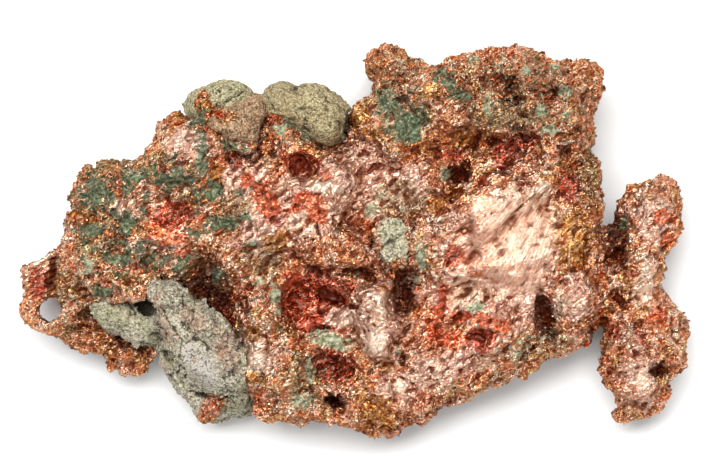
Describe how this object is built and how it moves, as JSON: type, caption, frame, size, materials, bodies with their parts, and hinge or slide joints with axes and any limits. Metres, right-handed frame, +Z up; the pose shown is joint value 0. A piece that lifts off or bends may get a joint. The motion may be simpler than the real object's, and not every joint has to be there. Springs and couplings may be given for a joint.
{
  "type": "native copper nugget",
  "caption": "Hackly mass of native copper with a side lobe, a flat strap and pieces of its matrix rock, lying on its worn knobs.",
  "frame": {"origin": "middle of the object's box, on the surface it lies on", "axes": "+X along the length, from the strap towards the lobe; +Y towards the horn; +Z up, out of the surface it lies on"},
  "size_m": [0.1342, 0.0786, 0.0313],
  "materials": {
    "native_copper": "bare and rough, with patches of green malachite and red and gold films",
    "grey_rock": "matt, granular, light grey-green",
    "olive_rock": "matt, granular, olive grey",
    "brown_rock": "matt, granular, brown pink",
    "pale_rock": "matt, granular, pale grey-green"
  },
  "bodies": {
    "root": {"copper_mass": "native_copper", "matrix_block_lower_left": "grey_rock", "matrix_pebble_top_left": "olive_rock", "matrix_pebble_top_middle": "brown_rock", "matrix_pebble_top_right": "olive_rock", "matrix_chip_centre": "pale_rock"}
  },
  "joints": []
}
